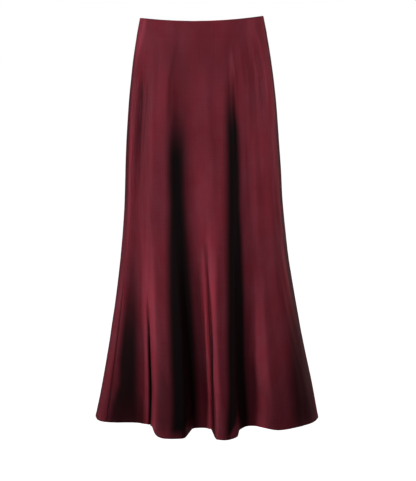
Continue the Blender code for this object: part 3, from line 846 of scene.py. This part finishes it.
def make_facing(side, first, last):
    """A facing inside the waist edge, understitched and overlocked, that stops clear of the zip's tape."""
    threads = panel_threads(first, last, FACING_THREADS)
    zip_top = cloth_point(np.array([ZIP_SEAM]), np.array([0.0]))[0]
    tops = cloth_point(threads, np.zeros_like(threads))
    threads = threads[np.linalg.norm(tops - zip_top, axis=1) > ZIP_TAPE_HALF + FACING_TO_TAPE]
    drops = np.concatenate([FACING_ROWS, np.linspace(*FACING_SPAN)])
    thread, drop = np.meshgrid(threads, drops)
    out, _, _ = cloth_ways(thread, drop)
    roll = np.clip(1 - drop / RIM_ROLL, 0.0, 1.0)
    wave = FACING_WAVE * np.sin(np.radians(thread * FACING_WAVES)) * ease(drop / FACING_WAVE_GROWS)
    inset = FACING_INSET + wave - UNDERSTITCH_DEPTH * bell(drop - UNDERSTITCH_DROP, UNDERSTITCH_WIDTH)
    inset = inset + (RIM_ROLL - FACING_INSET) * roll * roll
    points = cloth_point(thread, drop) - out * inset[..., None]
    places = cloth_places(points, drops)
    facing = sheet_piece(f"{side}_facing_satin", points, places, "facing_satin", ("facing",))
    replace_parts(facing, f"{side}_facing")
    stitches = stitch_row(f"{side}_understitching", threads, UNDERSTITCH_DROP, UNDERSTITCH_INSET, -1)
    return facing, [stitches, overlock(f"{side}_facing_overlock", points[-1], points[-2], -out[-1])]


def make_hem_turning(side, first, last):
    """The hem's inner fold with the bobbin side of its stitching, and the stitches that show outside."""
    threads = panel_threads(first, last, PANEL_THREADS)
    drops = LENGTH - np.array(TURNING_ROWS)
    thread, drop = np.meshgrid(threads, drops)
    points, out = satin_face(thread, drop)
    up = LENGTH - drop
    inset = SATIN + TURNING_GAP - TURNING_PRESSED * bell(up - HEM_STITCH_UP, HEM_STITCH_WIDTH)
    inset = inset - TURNING_GAP * ease((up - HEM_DEPTH + TURNING_EDGE) / TURNING_EDGE)
    points = points - out * inset[..., None]
    places = cloth_places(points, drops)
    turning = sheet_piece(f"{side}_hem_turning", points, places, "satin", ("satin_reverse",))
    stitch_drop = LENGTH - HEM_STITCH_UP
    outside = stitch_row(f"{side}_hem_stitching", threads, stitch_drop, HEM_STITCH_INSET, 1)
    inside = stitch_row(f"{side}_hem_bobbin_stitching", threads, stitch_drop, BOBBIN_INSET, -1)
    return [turning, outside, inside]


def make_allowance(name, seam, side):
    """One pressed-open seam allowance inside the skirt, from the facing or the zip's tape down to the hem."""
    drops = np.linspace(*ALLOWANCE_SPANS[seam])
    shares = np.linspace(0.0, 1.0, ALLOWANCE_THREADS)
    _, _, per_degree = cloth_ways(np.full_like(drops, seam), drops)
    thread = seam + side * (ALLOWANCE_STARTS + ALLOWANCE * shares) / per_degree[:, None]
    drop = np.broadcast_to(drops[:, None], thread.shape)
    points, out = satin_face(thread, drop)
    wave = ALLOWANCE_WAVE * np.sin(drop * ALLOWANCE_WAVE_RATE + side) * shares ** 2
    points = points - out * (SATIN + ALLOWANCE_GAP + wave + ALLOWANCE_SPRING * shares)[..., None]
    edge = overlock(f"{name}_overlock", points[:, -1], points[:, -2], -out[:, -1])
    points = points[:, ::side]
    places = cloth_places(points, drops)
    allowance = sheet_piece(name, points, places, "satin", ("satin_reverse",), ALLOWANCE_WALL)
    return [allowance, edge]


# ---------------------------------------------------------------- zip


def make_zip_tape():
    """The tape behind the zip seam, with the closed coil on its inner face."""
    drops = np.linspace(*TAPE_SPAN)
    across = np.linspace(-ZIP_TAPE_HALF, ZIP_TAPE_HALF, TAPE_THREADS)
    hip_angle = hip_angle_of(np.array(ZIP_SEAM))
    ahead, behind = (cloth_point(ZIP_SEAM, drops, hip_angle + half) for half in (0.5, -0.5))
    at = hip_angle + across / np.linalg.norm(ahead - behind, axis=-1)[:, None]
    thread = np.full(at.shape, ZIP_SEAM)
    drop = np.broadcast_to(drops[:, None], at.shape)
    out, _, _ = cloth_ways(thread, drop, at)
    points = cloth_point(thread, drop, at) - out * ZIP_TAPE_INSET
    places = np.stack([np.broadcast_to(across, at.shape), drop, 0 * drop], -1)
    tape = sheet_piece("zip_tapes", points, places, "zip_tape", ("tape",), ZIP_TAPE_WALL)
    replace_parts(tape, "zip_tape")

    middle, out = points[:, len(across) // 2], out[:, len(across) // 2]
    along = lengths_along(middle)
    steps = np.arange(int((along[-1] - 2 * COIL_END) / COIL_PITCH) * COIL_STEPS)
    at = COIL_END + steps * COIL_PITCH / COIL_STEPS
    centre, inwards = spaced(at, along, middle), unit(spaced(at, along, -out))
    aside = np.cross(unit(np.gradient(centre, axis=0)), inwards)
    turn = (2 * math.pi * steps / COIL_STEPS)[:, None]
    coil = centre + inwards * (ZIP_TAPE_WALL + COIL_LIFT + COIL_HALF_HEIGHT * np.sin(turn))
    coil = coil + aside * COIL_HALF_WIDTH * np.cos(turn)
    teeth = thread_curve("zip_coil", [coil], COIL_WIRE, "coil", slot="zip_tape", sides=1)
    level = unit(np.cross(np.gradient(middle, axis=0), out))
    lifted = middle - out * (ZIP_TAPE_WALL + COIL_CORD_LIFT)
    cords = [lifted + level * away for away in (-COIL_CORD_AWAY, COIL_CORD_AWAY)]
    rows = thread_curve("zip_coil_stitching", cords, COIL_CORD_RADIUS, "thread", slot="zip_tape")
    return tape, [teeth, rows]


def slider_frame():
    """Where the slider sits: x round the skirt, y up the seam, z straight out."""
    at = np.array(ZIP_SEAM), np.array(SLIDER_DROP)
    out, way, _ = cloth_ways(*at)
    out, way = Vector(out), Vector(way)
    up = out.cross(way).normalized()
    place = Matrix((up.cross(out), up, out)).transposed().to_4x4()
    place.translation = Vector(cloth_point(*at))
    return place


def bevelled_block(name, place, size, out, bevel, taper=1.0):
    """A metal block with rounded edges, this far out at its middle. The taper narrows its lower end."""
    bm = bmesh.new()
    bmesh.ops.create_cube(bm, size=1.0)
    for vertex in bm.verts:
        if vertex.co.y < 0:
            vertex.co.x *= taper
        vertex.co = vertex.co * Vector(size) + Vector((0.0, 0.0, out))
    bmesh.ops.bevel(bm, geom=list(bm.edges), offset=bevel, segments=3, profile=0.5, affect="EDGES")
    mesh = finished_mesh(name, bm)
    mesh.shade_smooth()
    mesh.transform(place)
    return new_piece(name, mesh, "skirt", "zip_metal", "enamel")


def make_slider(place):
    """The slider's body behind the seam, the neck that comes out through it, and the pull tab's bail."""
    body = bevelled_block("zip_slider_body", place, SLIDER_BODY, SLIDER_BODY_OUT, SLIDER_BEVEL, SLIDER_TAPER)
    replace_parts(body, "zip_slider")
    arch = [(-y, z) for y, z in BAIL_LEG] + [(0.0, BAIL_TOP)] + [(y, z) for y, z in reversed(BAIL_LEG)]
    line = np.array([place @ Vector((0.0, y, z)) for y, z in arch])
    thread_curve("zip_slider_bail", [line], BAIL_WIRE, "enamel", slot="zip_metal", sides=2)
    depth = NECK_OUT - SLIDER_BODY_OUT
    size = (BAIL_WIDTH, NECK_LENGTH, depth)
    bevelled_block("zip_slider_neck", place, size, SLIDER_BODY_OUT + depth / 2, NECK_BEVEL)


def make_pull(place):
    """The pull tab: a flat plate with an eye, whose bar lies in the slider's bail."""
    half_bar = PULL_BAR / 2
    outline = [(-PULL_HALF_WIDTH, half_bar), (PULL_HALF_WIDTH, half_bar)]
    centre = PULL_END_HALF - PULL_LENGTH
    for turn in np.linspace(0.0, -math.pi, PULL_END_STEPS):
        outline.append((PULL_END_HALF * math.cos(turn), PULL_END_HALF * math.sin(turn) + centre))
    eye = [(-PULL_EYE_HALF, -half_bar), (-PULL_EYE_HALF, -PULL_EYE_REACH)]
    eye += [(-x, y) for x, y in reversed(eye)]
    curve = bpy.data.curves.new("zip_pull_tab", "CURVE")
    curve.dimensions = "2D"
    curve.fill_mode = "BOTH"
    curve.extrude = PULL_THICKNESS / 2 - PULL_ROUNDING
    curve.bevel_depth = PULL_ROUNDING
    curve.bevel_resolution = 2
    curve.offset = -PULL_ROUNDING
    for loop in (outline, eye):
        add_line(curve, np.array([(x, y, 0.0) for x, y in loop])).use_cyclic_u = True
    flat = new_object("zip_pull_outline", curve)
    bpy.context.view_layer.update()
    mesh = bpy.data.meshes.new_from_object(flat.evaluated_get(bpy.context.evaluated_depsgraph_get()))
    bpy.data.objects.remove(flat)
    mesh.transform(place @ Matrix.Translation((0, 0, PULL_AXIS_OUT)))
    mesh.materials.clear()
    mesh.shade_smooth()
    mesh.set_sharp_from_angle(angle=math.radians(PULL_SHARP_EDGE))
    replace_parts(new_piece("zip_pull_tab", mesh, "pull", "zip_metal", "enamel"), "zip_pull")


# ---------------------------------------------------------------- finishes


def feed(tree, value, socket):
    """Links an output to this socket, or sets the socket to a number, a colour or a vector."""
    if isinstance(value, bpy.types.NodeSocket):
        tree.links.new(value, socket)
    else:
        socket.default_value = value


def add_node(tree, kind, inputs, **settings):
    """A shader node with these settings, and with each of these inputs fed."""
    node = tree.nodes.new(f"ShaderNode{kind}")
    for setting, value in settings.items():
        setattr(node, setting, value)
    for socket, value in inputs.items():
        feed(tree, value, node.inputs[socket])
    return node


def math_node(tree, operation, first, second):
    return add_node(tree, "Math", {0: first, 1: second}, operation=operation).outputs[0]


def plus(tree, first, second):
    return math_node(tree, "ADD", first, second)


def times(tree, first, second):
    return math_node(tree, "MULTIPLY", first, second)


def scaled(tree, vector, scale):
    return add_node(tree, "VectorMath", {0: vector, "Scale": scale}, operation="SCALE").outputs[0]


def multiplied(tree, vector, factors):
    return add_node(tree, "VectorMath", {0: vector, 1: factors}, operation="MULTIPLY").outputs[0]


def mixed_colours(tree, share, first, second):
    """The first colour where the share is 0, the second where it is 1."""
    mix = add_node(tree, "Mix", {"Factor": share, "A": first, "B": second}, data_type="RGBA")
    return mix.outputs["Result"]


def new_group(name, inputs, outputs):
    """An empty shader group with these sockets: name to kind, and for a number its usual value."""
    tree = bpy.data.node_groups.new(name, "ShaderNodeTree")
    kinds = {"number": "NodeSocketFloat", "colour": "NodeSocketColor", "vector": "NodeSocketVector"}
    for socket, (kind, value) in inputs.items():
        made = tree.interface.new_socket(socket, in_out="INPUT", socket_type=kinds[kind])
        if value is not None:
            made.default_value = value
    for socket, kind in outputs.items():
        tree.interface.new_socket(socket, in_out="OUTPUT", socket_type=kinds[kind])
    return tree, tree.nodes.new("NodeGroupInput").outputs, tree.nodes.new("NodeGroupOutput").inputs


def satin_weave_group():
    """Long floats of warp over a hidden weft, as the height of the weave's face."""
    tree, given, made = new_group("satin_weave", {"Place": ("vector", None)}, {"Height": "number"})
    millimetres = multiplied(tree, given["Place"], (1000.0, 1000.0, 1.0))
    turned = {"Vector": millimetres, "Angle": math.pi / 2}
    floats = {
        "Vector": add_node(tree, "VectorRotate", turned, rotation_type="Z_AXIS").outputs[0],
        "Scale": 1.0,
        "Brick Width": 1.3,
        "Row Height": 0.24,
        "Mortar Size": 0.035,
        "Mortar Smooth": 0.8,
    }
    between = add_node(tree, "TexBrick", floats, offset=0.4).outputs["Fac"]
    feed(tree, math_node(tree, "SUBTRACT", 1.0, between), made["Height"])
    return tree


# Unevenness of the satin: how often in a metre each kind varies across the cloth and down it, and how finely
Yarn = namedtuple("Yarn", "name across down detail")
YARNS = (
    Yarn("Streak", 420.0, 7.0, 3.0),
    Yarn("Slub", 11.0, 330.0, 3.0),
    Yarn("Mottle", 34.0, 13.0, 4.0),
    Yarn("Tint", 16.0, 9.0, 3.0),
    Yarn("Crinkle", 60.0, 34.0, 4.0),
)
SHADES = ("Streak", "Slub", "Mottle", "Tint")
UNEVENNESS = 0.36
SLUB_SHARE = 0.6
STREAKS_MIDDLE = 1.3
# How much lighter a painted highlight makes the colour
PAINTED_RIDGE_HIGHLIGHT = 0.8
STREAK_ROUGHNESS = 0.10

# How deep the satin's relief is, in millimetres
WEAVE_RELIEF = 0.020
STREAK_RELIEF = 0.012
CRINKLE_RELIEF = 0.22

# Twisted thread: one turn in radians, and how much darker the painted shade makes it in the grooves between
# its plies
FULL_TURN = 6.283
PLY_PAINTED_SHADE = 0.4


def yarn_streak_group():
    """Uneven yarns: long faint streaks down and across the cloth, with a soft mottle and crinkles."""
    tree, given, made = new_group(
        "yarn_streaks", {"Place": ("vector", None)}, {row.name: "number" for row in YARNS}
    )
    for row in YARNS:
        place = multiplied(tree, given["Place"], (row.across, row.down, 1.0))
        noise = {"Vector": place, "Scale": 1.0, "Detail": row.detail, "Roughness": 0.55}
        feed(tree, add_node(tree, "TexNoise", noise).outputs["Fac"], made[row.name])
    return tree


def cloth_colour_and_painted_shade_group():
    """The cloth's colour: painted shade in its folds and painted highlights on its ridges, uneven with its
    yarns, and drifting a little to purple.
    """
    tree, given, made = new_group(
        "painted_shade_and_highlight",
        {
            "Colour": ("colour", None),
            "Painted Shade Colour": ("colour", None),
            "Painted Shading": ("number", 0.0),
            **{shade: ("number", 0.5) for shade in SHADES},
            "Unevenness": ("number", 0.1),
        },
        {"Colour": "colour"},
    )
    yarns = plus(tree, given["Streak"], given["Mottle"])
    yarns = plus(tree, yarns, times(tree, given["Slub"], SLUB_SHARE))
    uneven = times(tree, math_node(tree, "SUBTRACT", yarns, STREAKS_MIDDLE), given["Unevenness"])
    # Painted highlight: a fold value below 0 makes the colour lighter
    ridge = math_node(tree, "MAXIMUM", times(tree, given["Painted Shading"], -PAINTED_RIDGE_HIGHLIGHT), 0.0)
    shade = plus(tree, plus(tree, uneven, 1.0), ridge)
    drift = plus(tree, given["Tint"], 0.5)
    purple = add_node(tree, "CombineXYZ", {"X": 1.0, "Y": drift, "Z": drift}).outputs[0]
    # The yarns' colour, made lighter where a painted highlight lies
    dyed_and_painted_highlight = multiplied(tree, scaled(tree, given["Colour"], shade), purple)
    # Painted shade: the colour goes towards the near-black shade colour as the fold value rises
    feed(tree, mixed_colours(tree, given["Painted Shading"], dyed_and_painted_highlight, given["Painted Shade Colour"]), made["Colour"])
    return tree


def thread_twist_group():
    """Two plies twisted together: Height for a bump, and a painted shade output, darker in the grooves
    between the plies.
    """
    tree, given, made = new_group(
        "thread_twist",
        {"Place": ("vector", None), "Pitch": ("number", 0.0008)},
        {"Height": "number", "Painted Groove Shade": "number"},
    )
    slant = {0: given["Place"], 1: (1.0, 0.7, 1.3)}
    turns = add_node(tree, "VectorMath", slant, operation="DOT_PRODUCT").outputs["Value"]
    turns = math_node(tree, "DIVIDE", turns, given["Pitch"])
    wave = math_node(tree, "SINE", times(tree, turns, FULL_TURN), 0.0)
    height = times(tree, plus(tree, wave, 1.0), 0.5)
    feed(tree, height, made["Height"])
    shade = times(tree, height, PLY_PAINTED_SHADE)
    feed(tree, plus(tree, shade, 1 - PLY_PAINTED_SHADE), made["Painted Groove Shade"])
    return tree


def new_finish(name, constants):
    """A material whose shader has these constants on its own sockets."""
    material = bpy.data.materials.new(name)
    material.use_nodes = True
    shader = material.node_tree.nodes["Principled BSDF"]
    for socket, value in constants.items():
        shader.inputs[socket].default_value = value
    return material, material.node_tree, shader.inputs


def bump_from(tree, shader, height, millimetres):
    """Feeds a height between 0 and 1 to the shader's normal as a relief this deep."""
    relief = {"Strength": 1.0, "Distance": millimetres / 1000, "Height": height}
    feed(tree, add_node(tree, "Bump", relief).outputs["Normal"], shader["Normal"])


def cloth_attribute(tree, name, output):
    return add_node(tree, "Attribute", {}, attribute_name=name).outputs[output]


def satin_finish(name, groups, colour, deep, roughness, metallic, weave=0.35, sheen=0.1):
    """Satin with its weave, uneven yarns, fine crinkles, painted shade in the folds and painted highlights on
    the ridges.
    """
    material, tree, shader = new_finish(
        name,
        {
            "Roughness": roughness,
            "Metallic": metallic,
            "Specular IOR Level": 0.2,
            "Specular Tint": (0.60, 0.22, 0.28, 1.0),
            "Sheen Weight": sheen,
            "Sheen Roughness": 0.4,
            "Sheen Tint": (0.5, 0.1, 0.13, 1.0),
        },
    )
    place = {"Place": cloth_attribute(tree, "cloth_place", "Vector")}
    weave_height = add_node(tree, "Group", place, node_tree=groups["weave"]).outputs["Height"]
    yarns = add_node(tree, "Group", place, node_tree=groups["streaks"]).outputs
    painted_shading = {
        "Colour": (*colour, 1.0),
        "Painted Shade Colour": (*deep, 1.0),
        "Unevenness": UNEVENNESS,
        # The painted shade and highlight, read from the cloth's fold attribute
        "Painted Shading": cloth_attribute(tree, "fold", "Fac"),
        **{shade: yarns[shade] for shade in SHADES},
    }
    toned = add_node(tree, "Group", painted_shading, node_tree=groups["painted_shading"]).outputs["Colour"]
    feed(tree, toned, shader["Base Color"])
    rough = times(tree, yarns["Streak"], STREAK_ROUGHNESS)
    feed(tree, plus(tree, rough, roughness - STREAK_ROUGHNESS / 2), shader["Roughness"])
    height = times(tree, weave_height, WEAVE_RELIEF * weave)
    for yarn, relief in (("Streak", STREAK_RELIEF), ("Crinkle", CRINKLE_RELIEF)):
        height = plus(tree, height, times(tree, yarns[yarn], relief))
    bump_from(tree, shader, height, 1.0)
    return material


def thread_finish(groups, colour):
    material, tree, shader = new_finish(
        "sewing_thread", {"Roughness": 0.55, "Specular IOR Level": 0.35, "Sheen Weight": 0.3}
    )
    plies = {"Pitch": 0.0007, "Place": add_node(tree, "TexCoord", {}).outputs["Object"]}
    twist = add_node(tree, "Group", plies, node_tree=groups["twist"]).outputs
    # The thread's colour with painted shade in the grooves between its plies
    feed(tree, scaled(tree, colour, twist["Painted Groove Shade"]), shader["Base Color"])
    bump_from(tree, shader, twist["Height"], 0.08)
    return material


def tape_finish():
    """Twill tape: fine slanting ribs."""
    material, tree, shader = new_finish(
        "zip_twill_tape", {"Roughness": 0.75, "Specular IOR Level": 0.25, "Sheen Weight": 0.2}
    )
    millimetres = multiplied(tree, cloth_attribute(tree, "cloth_place", "Vector"), (1000.0, 1000.0, 1.0))
    twill = {"Vector": millimetres, "Scale": 0.55, "Distortion": 0.6}
    ribs = add_node(tree, "TexWave", twill, bands_direction="DIAGONAL").outputs["Fac"]
    colour = mixed_colours(tree, ribs, (0.030, 0.004, 0.007, 1.0), (0.065, 0.009, 0.014, 1.0))
    feed(tree, colour, shader["Base Color"])
    bump_from(tree, shader, ribs, 0.10)
    return material


def coil_finish():
    material, tree, shader = new_finish("zip_nylon_coil", {"Roughness": 0.35})
    mottle = add_node(tree, "TexNoise", {"Scale": 900.0}).outputs["Fac"]
    colour = mixed_colours(tree, mottle, (0.050, 0.006, 0.010, 1.0), (0.085, 0.011, 0.017, 1.0))
    feed(tree, colour, shader["Base Color"])
    return material


def enamel_finish():
    """Burgundy enamel on die-cast metal, worn brighter in small specks."""
    material, tree, shader = new_finish(
        "zip_enamel",
        {"Roughness": 0.30, "Specular IOR Level": 0.6, "Coat Roughness": 0.12, "Coat Weight": 0.4},
    )
    specks = add_node(tree, "TexNoise", {"Scale": 1400.0, "Detail": 5.0}).outputs["Fac"]
    wear = add_node(tree, "MapRange", {"Value": specks, "From Min": 0.62, "From Max": 0.74}).outputs["Result"]
    colour = mixed_colours(tree, wear, (0.085, 0.010, 0.016, 1.0), (0.24, 0.12, 0.12, 1.0))
    feed(tree, colour, shader["Base Color"])
    feed(tree, wear, shader["Metallic"])
    bump_from(tree, shader, specks, 0.02)
    return material


def make_finishes():
    groups = {
        "weave": satin_weave_group(),
        "streaks": yarn_streak_group(),
        "painted_shading": cloth_colour_and_painted_shade_group(),
        "twist": thread_twist_group(),
    }
    return {
        # Each satin's second colour is the near-black colour of its painted shade
        "satin": satin_finish(
            "burgundy_satin", groups, (0.300, 0.042, 0.064), (0.0155, 0.0118, 0.0124), 0.47, 0.50
        ),
        "satin_reverse": satin_finish(
            "satin_reverse", groups, (0.340, 0.043, 0.063), (0.060, 0.010, 0.014), 0.62, 0.15,
            weave=0.8, sheen=0.2,
        ),
        "facing": satin_finish(
            "facing_satin", groups, (0.240, 0.029, 0.043), (0.010, 0.003, 0.004), 0.50, 0.35
        ),
        "thread": thread_finish(groups, (0.190, 0.024, 0.036)),
        "tape": tape_finish(),
        "coil": coil_finish(),
        "enamel": enamel_finish(),
    }


# ---------------------------------------------------------------- studio

# Soft boxes: the angle each stands at (0 in front of the skirt, -90 at the left of the view), how far off
# and how high it is, the height it is turned to, its width and height, how wide its beam is in degrees, and
# its power
Lamp = namedtuple("Lamp", "name around far high aim width height beam power")
LAMPS = (
    Lamp("left_back_strip", -120, 2.4, -0.40, -0.45, 0.5, 2.0, 140, 2.20),
    Lamp("left_strip", -100, 2.4, -0.40, -0.45, 0.5, 2.0, 140, 3.60),
    Lamp("left_front_strip", -70, 2.4, -0.40, -0.45, 0.5, 2.0, 140, 1.85),
    Lamp("left_hip_box", -50, 2.6, 0.35, -0.25, 0.6, 0.6, 40, 0.31),
    Lamp("front_hip_left_box", -20, 3.0, 0.35, -0.16, 0.9, 0.6, 30, 0.16),
    Lamp("front_hip_right_box", 20, 3.0, 0.35, -0.16, 0.9, 0.6, 30, 0.27),
    Lamp("front_low_left_box", -30, 2.6, -0.90, -0.60, 1.0, 0.5, 100, 1.04),
    Lamp("front_low_right_box", 30, 2.6, -0.90, -0.60, 1.0, 0.5, 100, 0.35),
    Lamp("right_hip_box", 75, 2.6, 0.35, -0.25, 0.6, 0.6, 40, 0.32),
    Lamp("right_strip", 95, 2.4, -0.40, -0.45, 0.5, 2.0, 140, 1.10),
    Lamp("right_back_strip", 130, 2.4, -0.40, -0.45, 0.5, 2.0, 140, 3.30),
    Lamp("back_hip_box", 185, 3.0, 0.35, -0.16, 0.9, 0.6, 40, 0.60),
    Lamp("back_low_box", 170, 2.6, -0.90, -0.60, 1.0, 0.5, 100, 1.20),
    Lamp("overhead_box", 0, 0.0, 1.60, 0.0, 0.1, 0.1, 6, 0.10),
)
FLOOR_HEIGHT = -1.06
FLOOR_RADIUS = 30.0
FLOOR_GLOW = 0.985
ROOM_LIGHT = 0.08
CAMERA_PLACE = (0.014, -3.1, -0.0028)
CAMERA_LOOKS_DOWN = 9.1
CAMERA_LENS = 103.96
WHITE = (1.0, 1.0, 1.0, 1.0)


def make_lamps():
    for row in LAMPS:
        light = bpy.data.lights.new(row.name, "AREA")
        light.shape = "RECTANGLE"
        light.size = row.width
        light.size_y = row.height
        light.spread = math.radians(row.beam)
        light.energy = row.power
        lamp = new_object(row.name, light)
        around = math.radians(row.around)
        lamp.location = (row.far * math.sin(around), -row.far * math.cos(around), row.high)
        aim = Vector((0.0, 0.0, row.aim)) - lamp.location
        lamp.rotation_euler = aim.to_track_quat("-Z", "Y").to_euler()


def seen_by_camera(tree, strength):
    """This strength where the camera looks straight at it, and 0 as a light on the skirt."""
    rays = add_node(tree, "LightPath", {}).outputs["Is Camera Ray"]
    return times(tree, rays, strength)


def make_room():
    """A white surround that lights the cloth only a little."""
    world = bpy.data.worlds.new("studio")
    bpy.context.scene.world = world
    world.use_nodes = True
    tree = world.node_tree
    background = tree.nodes["Background"].inputs
    background["Color"].default_value = WHITE
    strength = plus(tree, seen_by_camera(tree, 1.0 - ROOM_LIGHT), ROOM_LIGHT)
    feed(tree, strength, background["Strength"])


def make_floor():
    """A plain pale floor that looks white where it is lit and faintly grey in the skirt's shadow."""
    bm = bmesh.new()
    bmesh.ops.create_circle(bm, cap_ends=True, segments=64, radius=FLOOR_RADIUS)
    mesh = finished_mesh("studio_floor", bm)
    floor = new_object("studio_floor", mesh)
    floor.location.z = FLOOR_HEIGHT
    pale = {
        "Base Color": (0.75, 0.75, 0.75, 1.0),
        "Roughness": 0.9,
        "Specular IOR Level": 0.0,
        "Emission Color": WHITE,
    }
    material, tree, shader = new_finish("pale_floor", pale)
    feed(tree, seen_by_camera(tree, FLOOR_GLOW), shader["Emission Strength"])
    mesh.materials.append(material)


def make_camera():
    """Level with the waist, straight in front, looking down a little."""
    camera = bpy.data.cameras.new("camera")
    camera.sensor_fit = "VERTICAL"
    camera.sensor_height = 36.0
    camera.lens = CAMERA_LENS
    holder = new_object("camera", camera)
    holder.location = CAMERA_PLACE
    holder.rotation_euler = (math.radians(90.0 - CAMERA_LOOKS_DOWN), 0.0, 0.0)
    bpy.context.scene.camera = holder


# ---------------------------------------------------------------- the skirt

bpy.context.scene.view_settings.view_transform = "Standard"
make_camera()
make_room()
make_lamps()
make_floor()
FINISH = make_finishes()

front_ends = (PLAIN_SEAM, ZIP_SEAM + 360.0)
back_ends = (ZIP_SEAM, PLAIN_SEAM)
front = make_panel("front", *front_ends)
back = make_panel("back", *back_ends)
front_facing, front_facing_sewing = make_facing("front", *front_ends)
back_facing, back_facing_sewing = make_facing("back", *back_ends)
front_sewing = make_hem_turning("front", *front_ends)
back_sewing = make_hem_turning("back", *back_ends)
front_sewing += make_allowance("front_plain_allowance", PLAIN_SEAM, 1)
back_sewing += make_allowance("back_plain_allowance", PLAIN_SEAM, -1)
front_sewing += make_allowance("front_zip_allowance", ZIP_SEAM, -1)
back_sewing += make_allowance("back_zip_allowance", ZIP_SEAM, 1)
zip_tapes, zip_sewing = make_zip_tape()
slider_place = slider_frame()
make_slider(slider_place)
make_pull(slider_place)
